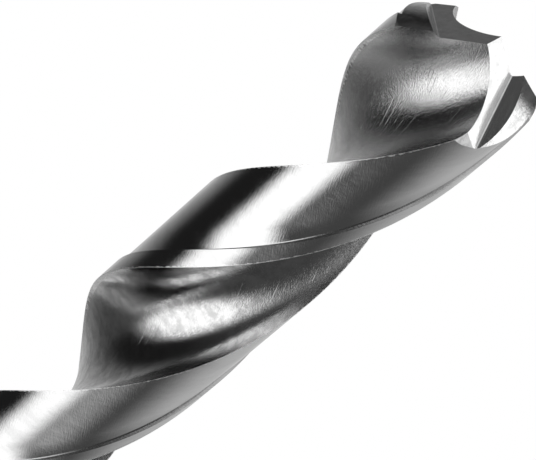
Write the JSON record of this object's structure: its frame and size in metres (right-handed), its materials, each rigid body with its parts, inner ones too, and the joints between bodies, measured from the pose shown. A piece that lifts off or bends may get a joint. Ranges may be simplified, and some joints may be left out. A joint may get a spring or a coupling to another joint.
{
  "type": "twist drill bit",
  "caption": "Straight-shank twist drill with right-hand spiral flutes, relieved lands, split outer lips and a notched centre point.",
  "frame": {"origin": "middle of the shank's flat end face, on the drill's axis", "axes": "+Z along the drill's axis from shank to point; the two outer lip corners lie on the X axis"},
  "size_m": [0.008, 0.008, 0.117],
  "materials": {
    "ground_steel": "bright ground high-speed steel"
  },
  "bodies": {
    "root": {"drill_bit": "ground_steel"}
  },
  "joints": []
}
